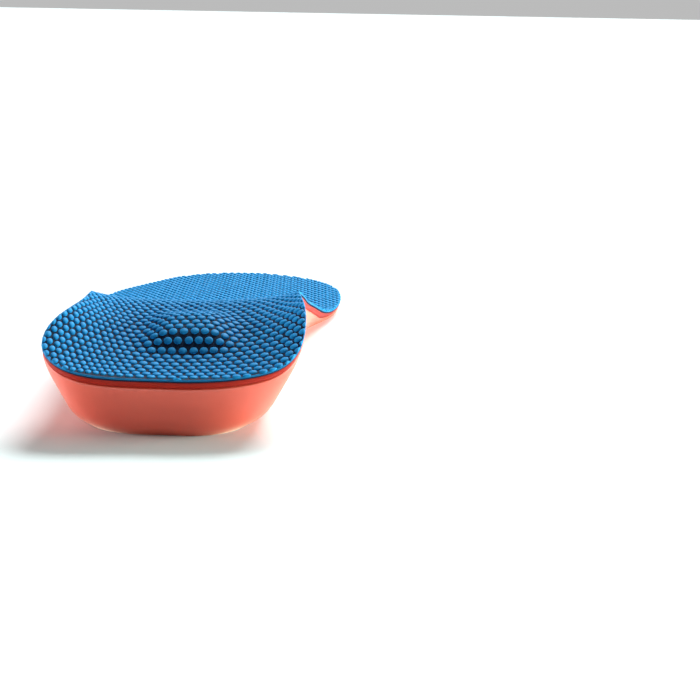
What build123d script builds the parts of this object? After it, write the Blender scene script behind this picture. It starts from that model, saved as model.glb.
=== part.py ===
from build123d import *
import os

# A cushioned insole for a left foot, seen in its own frame: +Y runs from the heel to the toe, +X is the
# medial (arch) side and z = 0 is the floor it rests on. Heights are above that floor, and a "station" is
# a distance from the heel's back edge. All lengths are millimetres.

# ---- driving dimensions ----
LENGTH = 262.0  # heel's back edge to the toe
ORIGIN_X, ORIGIN_STATION = 0.9, 131.2  # the middle of the insole, which is the frame's origin

COVER_THICK = 0.9  # fabric cover
CUSHION_THICK = 1.8  # thin cushion foam under the cover

FORE_TOP = 4.2  # top of the insole at the forefoot
HEEL_BACK_TOP = 17.7  # top at the heel's back edge
HEEL_CREST_TOP = 28.4  # highest point of the centreline, just before the arch
MEDIAL_FLANGE_TOP, LATERAL_FLANGE_TOP = 32.8, 34.6  # flanges beside the heel
FLANGE_BACK_TOP = 20.4  # height that the flanges start from, at the heel's back corners
FLANGE_FULL = 37.0  # station where they have their full height
CREST_STATION = 58.0  # where the centreline is highest
SLOPE_START = 50.0  # where the long slope to the forefoot begins
SLOPE_RUN = 115.0  # its length
MEDIAL_SLOPE_START, MEDIAL_SLOPE_RUN = 55.0, 120.0  # where the arch side's flange comes down
LATERAL_SLOPE_START, LATERAL_SLOPE_RUN = 49.0, 82.0  # and the outer side's

MEDIAL_HALF_WIDTH, LATERAL_HALF_WIDTH = 34.0, 32.0  # half widths over which the top curls up
CURL_SHARE = 0.3  # share of the curl that is in the steep outer part

PAD_X = 2.3  # middle of the raised heel pad, across
PAD_PEAK_STATION = 27.5  # its highest point, which is nearer its back end
PAD_BACK_LENGTH, PAD_FRONT_LENGTH = 8.0, 20.0  # from the peak to its two ends
PAD_HALF_WIDTH = 15.2
PAD_RISE = 4.3
PAD_PLATEAU = 0.30  # share of the pad that is flat on top
PAD_FLOOR = 15.0  # height of the floor of the pocket that the pad sits in

WALL_HEIGHT = 26.0  # height at which the heel's wall reaches its full width
WALL_POWER = 1.20  # how rounded the wall is, where 1 is straight
BASE_ROUND, BASE_ROUND_HEIGHT = 0.20, 4.0  # extra rounding of the heel's lower edge
LATERAL_LEAN = 7.7  # how far the outer flange leans inwards at HULL_TOP
LEAN_START = 19.0  # height at which it starts to lean
LEAN_FULL = 38.0  # station where it leans the most
LEAN_END, LEAN_RUN = 140.0, 60.0  # the lean fades out over this run, ending at this station
HULL_TOP = 36.0  # height of the blank that the pieces are cut from

# Plan outlines at the rim and at the base, as (x, station) anticlockwise from the back
RIM_OUTLINE = [
    (0.0, 0.4),
    (19.0, 2.2),
    (30.6, 8.0),
    (34.4, 23.0),
    (32.5, 57.0),
    (34.2, 100.0),
    (38.1, 143.0),
    (40.8, 160.0),
    (43.6, 176.0),
    (47.4, 203.0),
    (43.4, 233.0),
    (29.5, 252.5),
    (9.0, 261.5),
    (-13.0, 254.0),
    (-29.5, 232.0),
    (-42.0, 204.5),
    (-46.0, 175.0),
    (-43.5, 138.0),
    (-37.2, 97.0),
    (-35.4, 55.0),
    (-36.9, 22.0),
    (-36.3, 9.5),
    (-29.5, 2.2),
    (-17.5, 0.0),
]
BASE_OUTLINE = [
    (0.5, 11.6),
    (12.0, 14.5),
    (16.5, 21.0),
    (19.5, 36.0),
    (23.5, 64.0),
    (28.0, 102.0),
    (30.5, 143.0),
    (33.8, 163.0),
    (39.8, 177.0),
    (46.2, 204.0),
    (42.6, 232.5),
    (29.0, 251.7),
    (8.8, 260.5),
    (-12.6, 253.2),
    (-29.8, 232.0),
    (-41.6, 204.7),
    (-44.6, 175.0),
    (-40.5, 138.5),
    (-32.0, 96.0),
    (-27.5, 62.0),
    (-27.5, 36.0),
    (-24.0, 22.0),
    (-18.0, 15.3),
    (-8.5, 12.2),
]
OUTLINE_SPANS = 8  # edges that the closed outline is cut into, so that no face of the blank is too long

SECTION_HEIGHTS = [0.0, 1.5, 4.5, 10.0, 17.0, 24.0, 30.0, HULL_TOP]

# Grid of the top surface, which reaches a little past the outline: fine over the heel, coarse beyond it.
GRID_HALF_WIDTH = 54.0
GRID_COLUMNS = 22
GRID_MARGIN = 8.0
GRID_FINE_END = 76.0
GRID_FINE_ROWS = 28
GRID_COARSE_ROWS = 11


def ramp(t):
    """Rises smoothly from 0 to 1 while t goes from 0 to 1."""
    t = min(1.0, max(0.0, t))
    return t * t * (3 - 2 * t)


def centre_height(station):
    """Height of the top surface along the middle of the insole."""
    heel = HEEL_BACK_TOP + (HEEL_CREST_TOP - HEEL_BACK_TOP) * ramp(station / CREST_STATION)
    return FORE_TOP + (heel - FORE_TOP) * (1 - ramp((station - SLOPE_START) / SLOPE_RUN))


def flange_height(x, station):
    """Height of the top surface at the edge of the insole on the side that x is on."""
    full_top = MEDIAL_FLANGE_TOP if x > 0 else LATERAL_FLANGE_TOP
    slope_start = MEDIAL_SLOPE_START if x > 0 else LATERAL_SLOPE_START
    slope_run = MEDIAL_SLOPE_RUN if x > 0 else LATERAL_SLOPE_RUN
    rise = ramp(station / FLANGE_FULL)
    top = FLANGE_BACK_TOP + (full_top - FLANGE_BACK_TOP) * rise
    along = min(1.0, max(0.0, (station - slope_start) / slope_run))
    return FORE_TOP + (top - FORE_TOP) * (1 - 0.7 * along - 0.3 * ramp(along))


def pad_height(x, station):
    """Height that the heel pad adds to the top surface."""
    length = PAD_BACK_LENGTH if station < PAD_PEAK_STATION else PAD_FRONT_LENGTH
    across = abs(x - PAD_X) / PAD_HALF_WIDTH
    along = abs(station - PAD_PEAK_STATION) / length
    distance = (across**4 + along**4) ** (1 / 4)
    return PAD_RISE * (1 - ramp((distance - PAD_PLATEAU) / (1 - PAD_PLATEAU)))


def top_height(x, station):
    """Height of the finished top surface."""
    centre = centre_height(station)
    across = min(1.05, max(x / MEDIAL_HALF_WIDTH, -x / LATERAL_HALF_WIDTH))
    curl = (1 - CURL_SHARE) * across**2 + CURL_SHARE * across**6
    return centre + (flange_height(x, station) - centre) * curl + pad_height(x, station)


def grid_stations():
    """Stations of the rows of the top surface's grid."""
    fine = [-GRID_MARGIN + (GRID_FINE_END + GRID_MARGIN) * i / GRID_FINE_ROWS for i in range(GRID_FINE_ROWS)]
    rest = LENGTH + GRID_MARGIN - GRID_FINE_END
    return fine + [GRID_FINE_END + rest * i / GRID_COARSE_ROWS for i in range(GRID_COARSE_ROWS + 1)]


def grid_positions():
    """Positions across of the columns of the grid, closer together in the middle."""
    shares = [2 * i / GRID_COLUMNS - 1 for i in range(GRID_COLUMNS + 1)]
    return [GRID_HALF_WIDTH * (0.75 * share + 0.25 * share**3) for share in shares]


def top_surface():
    """The top surface as one smooth face, wider than the insole."""
    points = []
    stations = grid_stations()
    for x in grid_positions():
        column = [(x - ORIGIN_X, station - ORIGIN_STATION, top_height(x, station)) for station in stations]
        points.append([Vector(*point) for point in column])
    return Face.make_surface_from_array_of_points(points, tol=0.1, min_deg=3)


def section_points(height):
    """The outline at a height: drawn in towards the base, and leaning in at the outer flange."""
    points = []
    for (x, station), (base_x, base_station) in zip(RIM_OUTLINE, BASE_OUTLINE):
        wall = min(WALL_HEIGHT, flange_height(x, station))
        bottom = max(0.0, 1 - height / BASE_ROUND_HEIGHT) ** 2
        drawn_in = (1 - BASE_ROUND) * max(0.0, 1 - height / wall) ** WALL_POWER + BASE_ROUND * bottom
        rise = ramp((height - LEAN_START) / (HULL_TOP - LEAN_START))
        fade = ramp((LEAN_END - station) / LEAN_RUN) * ramp(station / LEAN_FULL)
        lean = LATERAL_LEAN * rise * fade * ramp(-x / LATERAL_HALF_WIDTH)
        x_here = x + (base_x - x) * drawn_in + lean
        station_here = station + (base_station - station) * drawn_in
        points.append((x_here - ORIGIN_X, station_here - ORIGIN_STATION))
    return points


# ---- blank: the outer shape before its top is cut, wide at the rim and drawn in to a flat base ----
with BuildPart() as blank:
    for height in SECTION_HEIGHTS:
        with BuildSketch(Plane.XY.offset(height)):
            with BuildLine():
                outline = Spline(*section_points(height), periodic=True, mode=Mode.PRIVATE)
                for i in range(OUTLINE_SPANS):
                    add(outline.trim(i / OUTLINE_SPANS, (i + 1) / OUTLINE_SPANS))
            make_face()
    loft(clean=False)

# ---- the blank under the top surface, cut again at the underside of each layer ----
top_face = top_surface()
cover_underside = top_face.translate((0, 0, -COVER_THICK))
cushion_underside = cover_underside.translate((0, 0, -CUSHION_THICK))

with BuildPart() as trimmed_blank:
    add(blank.part)
    split(bisect_by=top_face, keep=Keep.BOTTOM)

# ---- top cover: fabric skin over the whole top ----
with BuildPart() as top_cover:
    add(trimmed_blank.part)
    split(bisect_by=cover_underside, keep=Keep.TOP)

with BuildPart() as foam_blank:
    add(trimmed_blank.part)
    split(bisect_by=cover_underside, keep=Keep.BOTTOM)

# ---- cushion layer: thin full-length foam between the body and the cover ----
with BuildPart() as cushion_layer:
    add(foam_blank.part)
    split(bisect_by=cushion_underside, keep=Keep.TOP)

# ---- outline of the heel pad, from the floor of its pocket upwards ----
pad_middle = PAD_PEAK_STATION + (PAD_FRONT_LENGTH - PAD_BACK_LENGTH) / 2 - ORIGIN_STATION
pad_half_length = (PAD_BACK_LENGTH + PAD_FRONT_LENGTH) / 2

with BuildSketch(Plane.XY.offset(PAD_FLOOR)) as pad_outline:
    with Locations((PAD_X - ORIGIN_X, pad_middle)):
        Ellipse(PAD_HALF_WIDTH, pad_half_length)

# ---- foam body: moulded foam below the cushion layer, with a pocket for the pad ----
with BuildPart() as foam_body:
    add(foam_blank.part)
    split(bisect_by=cushion_underside, keep=Keep.BOTTOM)
    extrude(pad_outline.sketch, amount=HULL_TOP, mode=Mode.SUBTRACT)

# ---- heel pad: oval of softer foam that fills the pocket and lifts the layers above it ----
with BuildPart() as heel_pad:
    extrude(pad_outline.sketch, amount=HULL_TOP)
    split(bisect_by=cushion_underside, keep=Keep.BOTTOM)

foam_body.part.label = "foam_body"
heel_pad.part.label = "heel_pad"
cushion_layer.part.label = "cushion_layer"
top_cover.part.label = "top_cover"

os.makedirs("parts", exist_ok=True)
export_step(foam_body.part, "parts/foam_body.step")
export_step(heel_pad.part, "parts/heel_pad.step")
export_step(cushion_layer.part, "parts/cushion_layer.step")
export_step(top_cover.part, "parts/top_cover.step")
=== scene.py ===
import math

import bmesh
import bpy
import numpy as np
from mathutils import Matrix, Vector
from mathutils.bvhtree import BVHTree


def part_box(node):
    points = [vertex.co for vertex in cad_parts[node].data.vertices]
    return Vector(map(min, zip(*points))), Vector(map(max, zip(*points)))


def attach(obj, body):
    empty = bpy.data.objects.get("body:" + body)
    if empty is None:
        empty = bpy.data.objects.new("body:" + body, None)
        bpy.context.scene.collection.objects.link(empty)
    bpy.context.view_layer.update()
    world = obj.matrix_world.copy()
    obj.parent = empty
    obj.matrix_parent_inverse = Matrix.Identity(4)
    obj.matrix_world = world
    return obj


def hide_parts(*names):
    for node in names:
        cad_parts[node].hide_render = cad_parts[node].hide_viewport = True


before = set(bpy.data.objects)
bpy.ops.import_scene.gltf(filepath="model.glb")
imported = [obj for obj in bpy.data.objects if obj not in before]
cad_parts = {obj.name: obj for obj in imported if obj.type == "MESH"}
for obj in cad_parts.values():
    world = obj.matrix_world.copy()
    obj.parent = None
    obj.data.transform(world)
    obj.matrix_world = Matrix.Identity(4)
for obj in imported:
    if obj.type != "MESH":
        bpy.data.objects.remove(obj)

# A cushioned insole for a left foot. The CAD solids give every size: this script samples them and builds
# each piece again at full detail, with its own edge and its own material.

MM = 0.001
bpy.context.view_layer.update()
COVER_LOW, COVER_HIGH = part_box("top_cover")
PAD_LOW, PAD_HIGH = (np.array(corner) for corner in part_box("heel_pad"))
HEEL_BACK = COVER_LOW[1]
TOE_FRONT = COVER_HIGH[1]
SKY = 0.2  # height that the rays pointing down start from
DOWN = Vector((0, 0, -1))

# ---- driving sizes, in metres ----
COVER_THICK = 0.9 * MM
CUSHION_THICK = 1.8 * MM
BODY_DEPTH = COVER_THICK + CUSHION_THICK  # depth of the foam body's top under the finished top
BODY_EDGE = 1.1 * MM  # height of the body's rounded upper edge
BODY_LEAST = 0.3 * MM  # what the body's wall keeps under that edge where the insole is thin
SQUEEZE_LEAST = 0.15  # the edge keeps at least this share of its height
COVER_TOP_INSET = 0.35 * MM  # how far the flat of a layer stops short of the wall
COVER_BOTTOM_INSET = 0.3 * MM
CUSHION_INSET = 0.9 * MM
BODY_INSET = 1.0 * MM
PAD_GAP = 0.15 * MM  # how far the pad's side lies inside that of its CAD solid
POCKET_GAP = 0.05 * MM  # how far its pocket's side lies outside

ROW_STEP = 1.6 * MM  # distance between the rows that run straight across
HEEL_FAN = 33 * MM  # distance from the heel's back edge to the centre of its fan of spokes
TOE_FAN = 44 * MM  # the same at the toe
FAN_SPOKES = 64  # spokes in half a turn at each end
RINGS = 34  # rings from the middle line to the rim
RING_CROWDING = 1.15  # above 1, the rings stand closer together near the rim
WALL_RINGS = 20  # rings from the floor to the rounded upper edge
PAD_SIDES = 96  # points round the pad and its pocket
TOP_PASSES = 3  # how often the sampled top is smoothed
MERGE_DISTANCE = 0.005 * MM  # points closer than this become one
LOOP_BELL = 1.6  # how far the samples round the rim and the wall are smoothed, in samples
LAYER_SHIFT = 0.85  # share of the way to the rim where a lower layer starts to follow the wall

FAR_OUT = 90 * MM  # where the rays that find the outer wall start from
WALL_CLEARANCE = 0.3 * MM  # rays are kept this far inside the wall's upper and lower edges
WALL_SLACK = 2 * MM  # a ray that meets something farther than this from the rim has missed the wall
WALL_DRAWN_IN = 1.2  # and this much more for each metre below the rim, where the wall is drawn in

DOT_PITCH = 2.8 * MM  # distance between dots in a row
DOT_ROW_STEP = 2.42 * MM  # distance between rows of dots
DOT_RADIUS = 1.18 * MM
DOT_HEIGHT = 0.46 * MM
DOT_SIDES = 12
DOT_PAST_RIM = 0.55  # a dot is left out if its middle is farther past the rim than this share of its radius
DOT_LEAN = 0.7 * MM  # distance over which the slope under a dot is measured
DOT_WALK = 0.25 * MM  # step with which rows of dots are measured out
DOT_RIM_GAP = 0.25 * MM  # how far inside the rim the middle of a cut dot is
DOT_SPOKE_LEAST = 0.03 * MM  # no spoke of a cut dot is shorter
FIRST_ROW = 0.1  # the first row's distance from the heel's back edge, in steps between rows
DOT_GATHER = 0.28  # share by which the fabric is gathered where it turns up on the heel's outer side
GATHER_START, GATHER_RUN = 9 * MM, 12 * MM  # where that begins, across, and over what distance
GATHER_END, GATHER_FADE = 100 * MM, 50 * MM  # how far it goes along the insole, and where it fades out


# ---------------------------------------------------------------- sampling the CAD solids


def solid(node):
    """A CAD node's points and triangles in the row frame. Its separate faces share no points."""
    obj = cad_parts[node]
    mesh = obj.data
    mesh.calc_loop_triangles()
    points = np.array([(obj.matrix_world @ vert.co)[:] for vert in mesh.vertices])
    return points, np.array([triangle.vertices[:] for triangle in mesh.loop_triangles])


def tree_of(points, triangles):
    return BVHTree.FromPolygons([tuple(point) for point in points], [tuple(face) for face in triangles])


def top_rim(points, triangles, tree):
    """The closed line round the top face of a solid, which is the face under the middle of the sky."""
    owner = {}
    for number, (a, b, c) in enumerate(triangles):
        owner[a, b] = owner[b, c] = owner[c, a] = number
    face = {tree.ray_cast(Vector((0, 0, SKY)), DOWN)[2]}
    waiting = list(face)
    while waiting:
        a, b, c = triangles[waiting.pop()]
        for edge in ((b, a), (c, b), (a, c)):
            if edge in owner and owner[edge] not in face:
                face.add(owner[edge])
                waiting.append(owner[edge])
    onward = {}
    for (start, end), number in owner.items():
        if number in face and (end, start) not in owner:
            onward[start] = end
    line = [min(onward)]
    while onward[line[-1]] != line[0]:
        line.append(onward[line[-1]])
    return points[line]


def smoothed(values, width, axis=0):
    """Values on closed loops, smoothed round the loop with a bell of that many samples."""
    reach = int(3 * width) + 1
    total = np.zeros_like(values)
    weight_sum = 0.0
    for shift in range(-reach, reach + 1):
        weight = math.exp(-0.5 * (shift / width) ** 2)
        total += weight * np.roll(values, shift, axis=axis)
        weight_sum += weight
    return total / weight_sum


def ramp(t):
    """Rises smoothly from 0 to 1 while t goes from 0 to 1."""
    t = np.clip(t, 0.0, 1.0)
    return t * t * (3 - 2 * t)


cover_solid = solid("top_cover")
cover_tree = tree_of(*cover_solid)
rim_line = top_rim(*cover_solid, cover_tree)
wall_trees = [cover_tree] + [tree_of(*solid(node)) for node in ("cushion_layer", "foam_body")]


def spokes():
    """Middle-line points and outward directions, in pairs, anticlockwise round the insole from the back."""
    first = HEEL_BACK + HEEL_FAN
    last = TOE_FRONT - TOE_FAN
    rows = int((last - first) / ROW_STEP)
    heights = [first + (last - first) * i / rows for i in range(rows + 1)]
    turns = [math.pi * i / FAN_SPOKES for i in range(1, FAN_SPOKES)]
    half = FAN_SPOKES // 2
    toe = [(0.0, last, math.cos(a), math.sin(a)) for a in turns]
    right = [(0.0, y, 1.0, 0.0) for y in heights]
    left = [(0.0, y, -1.0, 0.0) for y in reversed(heights)]
    back_right = [(0.0, first, math.sin(a), -math.cos(a)) for a in [0.0] + turns[: half - 1]]
    back_left = [(0.0, first, -math.sin(a), -math.cos(a)) for a in reversed(turns[: half - 1])]
    return np.array(back_right + right + toe + left + back_left)


SPOKES = spokes()
COUNT = len(SPOKES)
MIDDLE = SPOKES[:, :2]
OUTWARD = SPOKES[:, 2:]


def crossing(start, direction, line):
    """The farthest point where a level ray from start crosses a closed line."""
    ends = np.roll(line, -1, axis=0)
    along = ends[:, :2] - line[:, :2]
    gap = line[:, :2] - start
    cross = direction[0] * along[:, 1] - direction[1] * along[:, 0]
    cross = np.where(np.abs(cross) < 1e-15, 1e-15, cross)
    reach = (gap[:, 0] * along[:, 1] - gap[:, 1] * along[:, 0]) / cross
    share = (gap[:, 0] * direction[1] - gap[:, 1] * direction[0]) / cross
    hits = np.where((reach > 0) & (np.abs(share - 0.5) < 0.5001))[0]
    best = hits[np.argmax(reach[hits])]
    return line[best] + (ends[best] - line[best]) * share[best]


def rim_points():
    """The rim of the finished top, one point on each spoke."""
    points = np.array([crossing(MIDDLE[i], OUTWARD[i], rim_line) for i in range(COUNT)])
    reach = smoothed(((points[:, :2] - MIDDLE) * OUTWARD).sum(axis=1), LOOP_BELL)
    height = smoothed(points[:, 2], LOOP_BELL)
    return np.column_stack([MIDDLE + OUTWARD * reach[:, None], height])


RIM = rim_points()

# The body's rounded upper edge is squeezed where the insole is thin, so that it stays above the floor.
SQUEEZE = np.clip((RIM[:, 2] - BODY_DEPTH - BODY_LEAST) / BODY_EDGE, SQUEEZE_LEAST, 1.0)
EDGE_DEPTH = BODY_DEPTH + BODY_EDGE * SQUEEZE


def wall_reach(levels):
    """How far the outer wall is from the middle line along each spoke, at one height per spoke."""
    rim_reach = ((RIM[:, :2] - MIDDLE) * OUTWARD).sum(axis=1)
    reaches = np.full(COUNT, np.nan)
    for i in range(COUNT):
        level = max(min(levels[i], RIM[i][2] - WALL_CLEARANCE), WALL_CLEARANCE)
        far = Vector((*(MIDDLE[i] + OUTWARD[i] * FAR_OUT), level))
        inward = Vector((-OUTWARD[i][0], -OUTWARD[i][1], 0))
        hits = [tree.ray_cast(far, inward)[3] for tree in wall_trees]
        hits = [FAR_OUT - hit for hit in hits if hit is not None]
        nearby = WALL_SLACK + WALL_DRAWN_IN * (RIM[i][2] - level)
        if hits and abs(max(hits) - rim_reach[i]) < nearby:
            reaches[i] = max(hits)
    found = np.where(~np.isnan(reaches))[0]
    reaches = np.interp(np.arange(COUNT), found, reaches[found])
    return smoothed(reaches, LOOP_BELL)


def wall_ring(depth=None, share=None, offset=0.0):
    """A ring on the outer wall, at a depth under the rim or at a share of the plain wall's height."""
    levels = RIM[:, 2] - depth if share is None else (RIM[:, 2] - EDGE_DEPTH) * share
    reach = wall_reach(levels) + offset
    return np.column_stack([MIDDLE + OUTWARD * reach[:, None], levels])


def top_height(x, y):
    """Height of the finished top, which isn't a number outside it."""
    hit = cover_tree.ray_cast(Vector((x, y, SKY)), DOWN)
    return hit[0].z if hit[0] is not None else np.nan


def top_rings():
    """The finished top as rings of points from the middle line to the rim."""
    shares = [1 - (1 - i / RINGS) ** RING_CROWDING for i in range(RINGS + 1)]
    rings = []
    for share in shares:
        plan = MIDDLE + (RIM[:, :2] - MIDDLE) * share
        rings.append([(x, y, top_height(x, y)) for x, y in plan])
    rings = np.array(rings)
    rings[-1] = RIM
    for ring in rings[:-1]:
        gap = np.isnan(ring[:, 2])
        ring[gap, 2] = RIM[gap, 2]
    heights = rings[:, :, 2]
    for _ in range(TOP_PASSES):
        inner = heights.copy()
        inner[1:-1] = 0.25 * heights[:-2] + 0.5 * heights[1:-1] + 0.25 * heights[2:]
        heights = smoothed(inner, 1.0, axis=1)
        heights[-1] = RIM[:, 2]
    rings[:, :, 2] = heights
    return shares, rings


SHARES, TOP = top_rings()


def rim_slope():
    """How steeply the top rises outwards at the rim, on each spoke."""
    run = np.linalg.norm(TOP[-1, :, :2] - TOP[-4, :, :2], axis=1)
    return (TOP[-1, :, 2] - TOP[-4, :, 2]) / run


RIM_SLOPE = rim_slope()


def layer_rings(depth, edge_offset):
    """The top at a depth, as rings that end near the wall at that depth, moved outwards by an offset."""
    edge = wall_ring(depth=depth) if depth > 0 else RIM
    shift = ((edge - RIM)[:, :2] * OUTWARD).sum(axis=1) + edge_offset
    rings = TOP.copy()
    for ring, share in zip(rings, SHARES):
        blend = ramp((share - LAYER_SHIFT) / (1 - LAYER_SHIFT))
        ring[:, :2] += OUTWARD * (shift * blend)[:, None]
        ring[:, 2] += edge_offset * RIM_SLOPE * blend - depth
    return rings


# ---------------------------------------------------------------- building meshes


def mesh_object(name, verts, faces, smooth=True):
    mesh = bpy.data.meshes.new(name)
    mesh.from_pydata([tuple(v) for v in verts], [], faces)
    mesh.update()
    if smooth:
        mesh.shade_smooth()
    obj = bpy.data.objects.new(name, mesh)
    bpy.context.scene.collection.objects.link(obj)
    return obj


def shell(name, rings, edge_rings=None):
    """A closed solid from rings that all have the same number of points, first and last on a middle line.

    edge_rings is the pair of ring numbers between which the faces get the second material."""
    rings = np.array(rings)
    count, around = rings.shape[:2]
    faces = []
    for k in range(count - 1):
        for i in range(around):
            j = (i + 1) % around
            faces.append((k * around + i, k * around + j, (k + 1) * around + j, (k + 1) * around + i))
    obj = mesh_object(name, rings.reshape(-1, 3), faces)
    if edge_rings:
        for k in range(*edge_rings):
            for i in range(around):
                obj.data.polygons[k * around + i].material_index = 1
    mesh = bmesh.new()
    mesh.from_mesh(obj.data)
    bmesh.ops.remove_doubles(mesh, verts=mesh.verts, dist=MERGE_DISTANCE)
    bmesh.ops.recalc_face_normals(mesh, faces=mesh.faces)
    mesh.to_mesh(obj.data)
    mesh.free()
    obj.data.shade_smooth()
    return obj


def profile_rings(profile):
    """Rings on the outer wall from (outward offset, depth) pairs in millimetres."""
    return [wall_ring(depth=depth * MM, offset=offset * MM) for offset, depth in profile]


def finish_piece(obj, material_slot, *materials):
    """Gives a piece its materials and puts it on the one body; the slot name it is handed is not used."""
    for material in materials:
        obj.data.materials.append(material)
    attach(obj, "root")


# ---------------------------------------------------------------- materials


def new_material(name):
    material = bpy.data.materials.new(name)
    material.use_nodes = True
    nodes = material.node_tree.nodes
    shader = nodes["Principled BSDF"]
    return material, nodes, material.node_tree.links, shader


def noise_bump(nodes, links, shader, scale, strength, distance):
    """Fine surface grain. Returns the node that gives the place, for the colour to use too."""
    place = nodes.new("ShaderNodeTexCoord")
    noise = nodes.new("ShaderNodeTexNoise")
    noise.inputs["Scale"].default_value = scale
    noise.inputs["Detail"].default_value = 4.0
    bump = nodes.new("ShaderNodeBump")
    bump.inputs["Strength"].default_value = strength
    bump.inputs["Distance"].default_value = distance
    links.new(place.outputs["Object"], noise.inputs["Vector"])
    links.new(noise.outputs["Fac"], bump.inputs["Height"])
    links.new(bump.outputs["Normal"], shader.inputs["Normal"])
    return place


def mottled(nodes, links, shader, place, scale, dark, light):
    """A base colour that varies softly between two colours."""
    noise = nodes.new("ShaderNodeTexNoise")
    noise.inputs["Scale"].default_value = scale
    noise.inputs["Detail"].default_value = 3.0
    colours = nodes.new("ShaderNodeValToRGB")
    colours.color_ramp.elements[0].position = 0.3
    colours.color_ramp.elements[0].color = (*dark, 1)
    colours.color_ramp.elements[1].position = 0.7
    colours.color_ramp.elements[1].color = (*light, 1)
    links.new(place.outputs["Object"], noise.inputs["Vector"])
    links.new(noise.outputs["Fac"], colours.inputs["Fac"])
    links.new(colours.outputs["Color"], shader.inputs["Base Color"])


def foam(name, dark, light, roughness, specular, sheen):
    """Closed-cell foam: matte, with a soft bloom and a fine grain."""
    material, nodes, links, shader = new_material(name)
    shader.inputs["Roughness"].default_value = roughness
    shader.inputs["Specular IOR Level"].default_value = specular
    shader.inputs["Sheen Weight"].default_value = sheen
    shader.inputs["Sheen Roughness"].default_value = 0.3
    shader.inputs["Sheen Tint"].default_value = (1.0, 0.86, 0.64, 1)
    place = noise_bump(nodes, links, shader, scale=2600, strength=0.25, distance=0.05 * MM)
    mottled(nodes, links, shader, place, scale=60, dark=dark, light=light)
    return material


def knit(name, colour):
    """Fine dark knit between the dots: small loops as crossed waves."""
    material, nodes, links, shader = new_material(name)
    shader.inputs["Base Color"].default_value = (*colour, 1)
    shader.inputs["Roughness"].default_value = 0.85
    shader.inputs["Specular IOR Level"].default_value = 0.2
    place = nodes.new("ShaderNodeTexCoord")
    waves = []
    for direction in ("X", "Y"):
        wave = nodes.new("ShaderNodeTexWave")
        wave.bands_direction = direction
        wave.inputs["Scale"].default_value = 560
        wave.inputs["Distortion"].default_value = 1.5
        links.new(place.outputs["Object"], wave.inputs["Vector"])
        waves.append(wave)
    product = nodes.new("ShaderNodeMath")
    product.operation = "MULTIPLY"
    bump = nodes.new("ShaderNodeBump")
    bump.inputs["Strength"].default_value = 0.6
    bump.inputs["Distance"].default_value = 0.12 * MM
    links.new(waves[0].outputs["Fac"], product.inputs[0])
    links.new(waves[1].outputs["Fac"], product.inputs[1])
    links.new(product.outputs["Value"], bump.inputs["Height"])
    links.new(bump.outputs["Normal"], shader.inputs["Normal"])
    return material


def satin(name, dark, light):
    """Raised dots of satin yarn."""
    material, nodes, links, shader = new_material(name)
    shader.inputs["Roughness"].default_value = 0.55
    shader.inputs["Specular IOR Level"].default_value = 0.08
    place = noise_bump(nodes, links, shader, scale=1800, strength=0.25, distance=0.05 * MM)
    mottled(nodes, links, shader, place, scale=420, dark=dark, light=light)
    return material


BODY_FOAM = foam(
    "body_foam",
    dark=(0.80, 0.088, 0.046),
    light=(0.86, 0.103, 0.054),
    roughness=0.5,
    specular=1.0,
    sheen=0.45,
)
CUSHION_FOAM = foam(
    "cushion_foam",
    dark=(0.36, 0.014, 0.006),
    light=(0.42, 0.018, 0.008),
    roughness=0.5,
    specular=0.15,
    sheen=0.0,
)
PAD_FOAM = foam(
    "pad_foam",
    dark=(0.62, 0.20, 0.10),
    light=(0.68, 0.23, 0.12),
    roughness=0.7,
    specular=0.4,
    sheen=0.2,
)
# The dark knit is the cover's ground between the dots and its underside; on the lower band of the cover's
# cut edge it is painted shade from the cushion under it.
COVER_KNIT_AND_EDGE_SHADE = knit("cover_knit_and_edge_shade", (0.002, 0.016, 0.045))
COVER_EDGE = satin("cover_edge", dark=(0.008, 0.16, 0.38), light=(0.012, 0.19, 0.45))
DOT_YARN = satin("dot_yarn", dark=(0.008, 0.225, 0.53), light=(0.012, 0.275, 0.62))

# ---------------------------------------------------------------- top cover
# Each layer's top and bottom stop short of the wall, and its edge profile rounds the way between them.

cover_top = layer_rings(0.0, -COVER_TOP_INSET)
cover_edge = profile_rings([(-0.12, 0.02), (0.02, 0.14), (0.06, 0.42), (0.04, 0.7), (-0.08, 0.87)])
cover_bottom = layer_rings(COVER_THICK, -COVER_BOTTOM_INSET)[::-1]
cover = shell(
    "knit_cover",
    list(cover_top) + cover_edge + list(cover_bottom),
    # Only the upper band of the cut edge, which faces the light, gets the blue edge colour; the band under
    # it keeps the dark knit as painted shade from the cushion.
    (len(cover_top) - 1, len(cover_top) + 2),
)
finish_piece(cover, "cover_fabric", COVER_KNIT_AND_EDGE_SHADE, COVER_EDGE)
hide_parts("top_cover")

# ---------------------------------------------------------------- cushion layer

cushion_top = layer_rings(COVER_THICK, -CUSHION_INSET)
cushion_edge = profile_rings(
    [(-0.15, 0.92), (-0.06, 1.05), (-0.02, 1.35), (-0.01, 1.7), (-0.05, 2.05), (-0.2, 2.4), (-0.5, 2.62)]
)
cushion_bottom = layer_rings(BODY_DEPTH, -CUSHION_INSET)[::-1]
cushion = shell("cushion_sheet", list(cushion_top) + cushion_edge + list(cushion_bottom))
finish_piece(cushion, "cushion_foam", CUSHION_FOAM)
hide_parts("cushion_layer")

# ---------------------------------------------------------------- foam body

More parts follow.
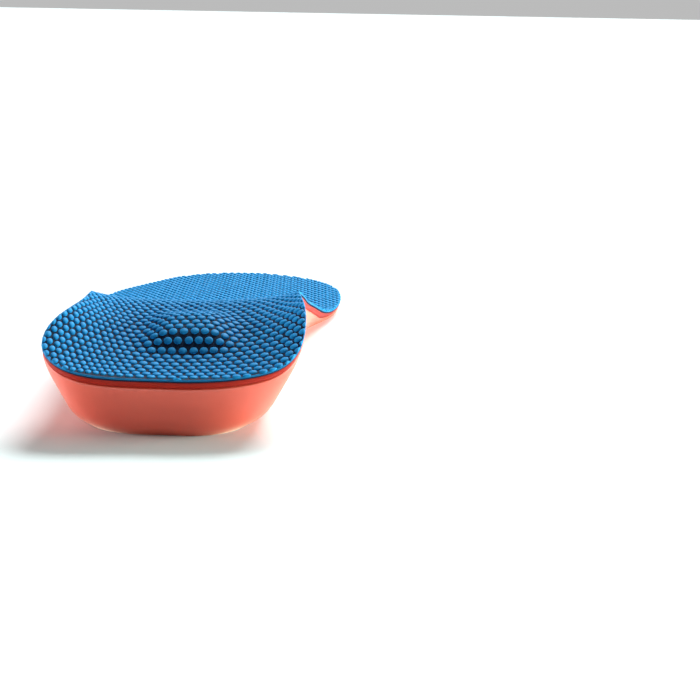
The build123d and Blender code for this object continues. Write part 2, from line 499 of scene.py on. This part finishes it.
body_top = layer_rings(BODY_DEPTH, -BODY_INSET)
body_edge = []
for offset, depth in [(-0.65, 0.02), (-0.3, 0.12), (-0.08, 0.35), (0.0, 0.7), (0.0, 1.1)]:
    body_edge.append(wall_ring(depth=BODY_DEPTH + depth * MM * SQUEEZE, offset=offset * MM))
body_wall = [wall_ring(share=i / WALL_RINGS) for i in range(WALL_RINGS - 1, 0, -1)]
base_ring = wall_ring(share=0.0)
base_ring[:, 2] = 0.0
base = []
for share in SHARES[::-1]:
    ring = base_ring.copy()
    ring[:, :2] = MIDDLE + (base_ring[:, :2] - MIDDLE) * share
    base.append(ring)
body = shell("foam_shell", list(body_top) + body_edge + body_wall + base)
finish_piece(body, "body_foam", BODY_FOAM)
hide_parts("foam_body")

# ---------------------------------------------------------------- heel pad, and the pocket cut for it


# Share of the way out from the pad's middle, with the height in millimetres from its top or its floor.
PAD_TOP = [(0, 0), (0.2, 0), (0.4, 0), (0.6, 0), (0.75, 0), (0.88, 0), (0.95, -0.15), (0.985, -0.4)]
PAD_BOTTOM = [(0.995, 1.2), (0.985, 0.4), (0.95, 0.12), (0.6, 0), (0, 0)]
PAD_SLACK = 0.1  # millimetres that the pad's top and floor lie inside those of its CAD solid


def oval(half_sizes):
    """Points in plan round an oval about the middle of the pad."""
    turns = [2 * math.pi * i / PAD_SIDES for i in range(PAD_SIDES)]
    circle = np.array([(math.cos(turn), math.sin(turn)) for turn in turns])
    return (PAD_LOW + PAD_HIGH)[:2] / 2 + circle * half_sizes


def pad_rings():
    """Rings of the heel pad, from the middle of its top over its rounded edge to the middle of its floor."""
    half_sizes = (PAD_HIGH - PAD_LOW)[:2] / 2 - PAD_GAP
    tree = tree_of(*solid("heel_pad"))

    def ring(share, lift):
        plan = oval(half_sizes * share)
        top = [tree.ray_cast(Vector((x, y, SKY)), DOWN)[0].z for x, y in plan]
        return plan, smoothed(np.array(top), 1.0) + lift

    rings = []
    for share, lift in PAD_TOP:
        plan, top = ring(share, (lift - PAD_SLACK) * MM)
        rings.append(np.column_stack([plan, top]))
    plan, top = ring(0.995, -1.2 * MM)
    rings.append(np.column_stack([plan, top]))
    floor = PAD_LOW[2] + PAD_SLACK * MM
    for share, height in PAD_BOTTOM:
        plan, _ = ring(share, 0)
        rings.append(np.column_stack([plan, np.full(PAD_SIDES, floor + height * MM)]))
    return rings


def cut_pocket():
    """Cuts the oval pocket that the pad lies in out of the foam body."""
    plan = oval((PAD_HIGH - PAD_LOW)[:2] / 2 + POCKET_GAP)
    verts = []
    for height in (PAD_LOW[2], PAD_HIGH[2] + BODY_DEPTH):
        verts += [(x, y, height) for x, y in plan]
    around = range(PAD_SIDES)
    sides = [(i, (i + 1) % PAD_SIDES, PAD_SIDES + (i + 1) % PAD_SIDES, PAD_SIDES + i) for i in around]
    floor = tuple(around)[::-1]
    lid = tuple(PAD_SIDES + i for i in around)
    cutter = mesh_object("pocket_cutter", verts, sides + [floor, lid], smooth=False)
    cut = body.modifiers.new("pocket", "BOOLEAN")
    cut.operation = "DIFFERENCE"
    cut.solver = "EXACT"
    cut.object = cutter
    seen = body.evaluated_get(bpy.context.evaluated_depsgraph_get())
    mesh = bpy.data.meshes.new_from_object(seen)
    body.modifiers.clear()
    body.data = mesh
    bpy.data.objects.remove(cutter)


pad = shell("heel_pad_foam", pad_rings())
finish_piece(pad, "pad_foam", PAD_FOAM)
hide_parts("heel_pad")
cut_pocket()

# ---------------------------------------------------------------- raised dots

top_tree = BVHTree.FromPolygons(
    [tuple(v) for v in TOP.reshape(-1, 3)],
    [
        (k * COUNT + i, k * COUNT + (i + 1) % COUNT, (k + 1) * COUNT + (i + 1) % COUNT, (k + 1) * COUNT + i)
        for k in range(len(TOP) - 1)
        for i in range(COUNT)
    ],
)


def surface_height(x, y):
    hit = top_tree.ray_cast(Vector((x, y, SKY)), DOWN)
    return hit[0].z if hit[0] is not None else None


def gather(x, y):
    """Size of the dots across, where 1 is their full size."""
    outwards = ramp((-x - GATHER_START) / GATHER_RUN)
    return 1 - DOT_GATHER * outwards * ramp((GATHER_END - (y - HEEL_BACK)) / GATHER_FADE)


def dot_row(y, side, shift):
    """Places across for the dots of one half of a row, wider apart in plan the less the top slopes."""
    places = []
    x = 0.0
    travelled = 0.0
    goal = shift * DOT_PITCH if shift or side > 0 else DOT_PITCH
    height = surface_height(0.0, y)
    beyond = 0.0
    while beyond < DOT_RADIUS:
        if travelled >= goal:
            places.append(x)
            goal += DOT_PITCH
        x += side * DOT_WALK
        onward = surface_height(x, y)
        if onward is None or height is None:
            beyond += DOT_WALK
            travelled += DOT_WALK
            if abs(x) > COVER_HIGH[0] + DOT_PITCH:
                break
        else:
            slope = (onward - height) / DOT_WALK
            travelled += DOT_WALK * math.sqrt(1 + slope * slope) / gather(x, y)
            beyond = 0.0
        height = onward
    return places


def dot_centres():
    """Places of the dots in plan: rows straight across, every other one shifted by half a step."""
    rows = int((TOE_FRONT - HEEL_BACK) / DOT_ROW_STEP) + 1
    centres = []
    for row in range(rows + 1):
        y = HEEL_BACK + (row + FIRST_ROW) * DOT_ROW_STEP
        for side in (1, -1):
            centres += [(x, y) for x in dot_row(y, side, 0.5 * (row % 2))]
    return centres


def nearest_on_rim(x, y):
    """The point of the rim, in plan, that is nearest to a point, and its distance."""
    ends = np.roll(RIM, -1, axis=0)[:, :2]
    along = ends - RIM[:, :2]
    gap = np.array([x, y]) - RIM[:, :2]
    share = np.clip((gap * along).sum(axis=1) / (along * along).sum(axis=1), 0, 1)
    distances = np.hypot(*(gap - along * share[:, None]).T)
    best = distances.argmin()
    return RIM[best, :2] + along[best] * share[best], distances[best]


def dot_anchor(x, y):
    """A point of the dot that is well inside the rim, or None if too little of the dot is."""
    rim_place, distance = nearest_on_rim(x, y)
    inside = surface_height(x, y) is not None
    if inside and distance > DOT_RIM_GAP:
        return x, y
    if not inside and distance > DOT_PAST_RIM * DOT_RADIUS:
        return None
    inward = np.array([x, y]) - rim_place if inside else rim_place - np.array([x, y])
    length = np.hypot(*inward)
    if length < 1e-9:
        return None
    return tuple(rim_place + inward / length * DOT_RIM_GAP)


def dot_reach(centre, anchor, spoke):
    """How far a dot reaches from its anchor along a spoke, up to its round edge or the rim."""
    level = math.hypot(spoke.x, spoke.y)
    direction = np.array([spoke.x, spoke.y]) / level
    offset = np.array(anchor) - centre
    middle = offset @ direction
    round_edge = -middle + math.sqrt(max(middle**2 - offset @ offset + (DOT_RADIUS * level) ** 2, 0))
    rim_edge = np.hypot(*(crossing(np.array(anchor), direction, RIM)[:2] - anchor))
    return max(min(round_edge, rim_edge), DOT_SPOKE_LEAST) / level


# Share of a dot's radius, with the share of its height, from below the surface up to near its top.
DOT_PROFILE = [(1.0, -0.3), (0.96, 0.5), (0.68, 0.88)]


def dot_mesh():
    """All the raised dots as one mesh, each turned to face out of the surface."""
    turns = [2 * math.pi * i / DOT_SIDES for i in range(DOT_SIDES)]
    verts = []
    faces = []
    for x, y in dot_centres():
        anchor = dot_anchor(x, y)
        here = surface_height(*anchor) if anchor else None
        if here is None:
            continue
        sides = ((1, 0), (-1, 0), (0, 1), (0, -1))
        heights = [surface_height(anchor[0] + dx * DOT_LEAN, anchor[1] + dy * DOT_LEAN) for dx, dy in sides]
        right, left, front, back = heights
        rise_x = slope_between(left, here, right)
        rise_y = slope_between(back, here, front)
        normal = Vector((-rise_x, -rise_y, 1)).normalized()
        across = (Vector((1, 0, 0)) - normal * normal.x).normalized()
        along = normal.cross(across)
        middle = Vector((*anchor, here))
        width = gather(x, y)
        spokes_here = [across * (width * math.cos(turn)) + along * math.sin(turn) for turn in turns]
        if anchor == (x, y) and nearest_on_rim(x, y)[1] > DOT_RADIUS:
            radii = [DOT_RADIUS] * DOT_SIDES
        else:
            radii = [dot_reach(np.array([x, y]), anchor, spoke) for spoke in spokes_here]
        first = len(verts)
        for share, lift in DOT_PROFILE:
            for spoke, radius in zip(spokes_here, radii):
                verts.append(middle + spoke * (radius * share) + normal * (DOT_HEIGHT * lift))
        verts.append(middle + normal * DOT_HEIGHT)
        for k in range(len(DOT_PROFILE) - 1):
            for i in range(DOT_SIDES):
                j = (i + 1) % DOT_SIDES
                low = first + k * DOT_SIDES
                high = low + DOT_SIDES
                faces.append((low + i, low + j, high + j, high + i))
        top = first + (len(DOT_PROFILE) - 1) * DOT_SIDES
        for i in range(DOT_SIDES):
            faces.append((top + i, top + (i + 1) % DOT_SIDES, len(verts) - 1))
    return mesh_object("cover_dots", verts, faces)


def slope_between(before, here, after):
    """Slope from the heights at DOT_LEAN before and after a point, where either may be missing."""
    if before is None and after is None:
        return 0.0
    if before is None:
        return (after - here) / DOT_LEAN
    if after is None:
        return (here - before) / DOT_LEAN
    return (after - before) / (2 * DOT_LEAN)


dots = dot_mesh()
finish_piece(dots, "cover_dots", DOT_YARN)

# ---------------------------------------------------------------- floor, light and camera


FLOOR_REACH = 60.0  # from the middle to each side
FLOOR_COLOUR = (0.76, 0.87, 0.88)
WORLD_FRONT, WORLD_BACK = 0.0, 0.5  # strength of the even light from the camera's side and from beyond
WORLD_FADE = 0.9  # the strength changes while the Y of the direction goes from minus this to this
SUN_STRENGTH = 4.7
SUN_ANGLE = math.radians(35)
SUN_DIRECTION = (-0.4, -0.85, -1)
SIDE_LIGHT_SIZE = (0.35, 0.09)
LIGHT_TARGET = (0, HEEL_BACK + 0.03, 0.02)  # inside the heel
KEY_PLACE, KEY_WATTS, KEY_COLOUR = (0.5, -0.05, 0.06), 5.2, (0.8, 1.0, 0.88)  # on the right
FILL_PLACE, FILL_WATTS = (-0.5, -0.07, 0.06), 2.4  # on the left


def floor():
    far = FLOOR_REACH
    corners = [(-far, -far, 0), (far, -far, 0), (far, far, 0), (-far, far, 0)]
    obj = mesh_object("studio_floor", corners, [(0, 1, 2, 3)], smooth=False)
    material, _, _, shader = new_material("studio_floor")
    shader.inputs["Base Color"].default_value = (*FLOOR_COLOUR, 1)
    shader.inputs["Roughness"].default_value = 0.9
    obj.data.materials.append(material)


def area_light(name, place, target, size, watts, colour=(1, 1, 1)):
    light = bpy.data.lights.new(name, "AREA")
    light.shape = "RECTANGLE"
    light.size, light.size_y = size
    light.energy = watts
    light.color = colour
    obj = bpy.data.objects.new(name, light)
    obj.location = place
    obj.rotation_euler = (Vector(target) - Vector(place)).to_track_quat("-Z", "Y").to_euler()
    bpy.context.scene.collection.objects.link(obj)


def studio():
    """Even light that is stronger from beyond, a wide soft sun, and a low light on each side of the heel."""
    world = bpy.data.worlds.new("studio")
    world.use_nodes = True
    nodes, links = world.node_tree.nodes, world.node_tree.links
    place = nodes.new("ShaderNodeTexCoord")
    axes = nodes.new("ShaderNodeSeparateXYZ")
    fade = nodes.new("ShaderNodeMapRange")
    fade.inputs["From Min"].default_value = -WORLD_FADE
    fade.inputs["From Max"].default_value = WORLD_FADE
    fade.inputs["To Min"].default_value = WORLD_FRONT
    fade.inputs["To Max"].default_value = WORLD_BACK
    links.new(place.outputs["Generated"], axes.inputs["Vector"])
    links.new(axes.outputs["Y"], fade.inputs["Value"])
    links.new(fade.outputs["Result"], nodes["Background"].inputs["Strength"])
    nodes["Background"].inputs["Color"].default_value = (1, 1, 1, 1)
    bpy.context.scene.world = world
    overhead = bpy.data.lights.new("overhead", "SUN")
    overhead.energy = SUN_STRENGTH
    overhead.angle = SUN_ANGLE
    sky = bpy.data.objects.new("overhead", overhead)
    sky.rotation_euler = Vector(SUN_DIRECTION).to_track_quat("-Z", "Y").to_euler()
    bpy.context.scene.collection.objects.link(sky)
    area_light("key", KEY_PLACE, LIGHT_TARGET, SIDE_LIGHT_SIZE, KEY_WATTS, KEY_COLOUR)
    area_light("fill", FILL_PLACE, LIGHT_TARGET, SIDE_LIGHT_SIZE, FILL_WATTS)


CAMERA_SIDE = 34.8 * MM  # towards the arch side
CAMERA_BEHIND = 413.0 * MM  # behind the heel's back edge
CAMERA_HEIGHT = 113.4 * MM
CAMERA_TURN = math.radians(1.449)  # towards the arch side
CAMERA_TILT = math.radians(11.879)  # downwards
CAMERA_ROLL = math.radians(1.048)
CAMERA_LENS = 83.0


def camera():
    """The photo's viewpoint: low behind the heel, looking along the insole."""
    data = bpy.data.cameras.new("camera")
    data.lens = CAMERA_LENS
    data.sensor_width = 36
    data.clip_start = 0.01
    obj = bpy.data.objects.new("camera", data)
    level = math.cos(CAMERA_TILT)
    forward = Vector((math.sin(CAMERA_TURN) * level, math.cos(CAMERA_TURN) * level, -math.sin(CAMERA_TILT)))
    right = forward.cross(Vector((0, 0, 1))).normalized()
    up = right.cross(forward)
    rolled_right = right * math.cos(CAMERA_ROLL) + up * math.sin(CAMERA_ROLL)
    rolled_up = up * math.cos(CAMERA_ROLL) - right * math.sin(CAMERA_ROLL)
    place = Matrix((rolled_right, rolled_up, -forward)).transposed().to_4x4()
    place.translation = (CAMERA_SIDE, HEEL_BACK - CAMERA_BEHIND, CAMERA_HEIGHT)
    obj.matrix_world = place
    bpy.context.scene.collection.objects.link(obj)
    bpy.context.scene.camera = obj


floor()
studio()
camera()
bpy.context.scene.view_settings.view_transform = "Standard"
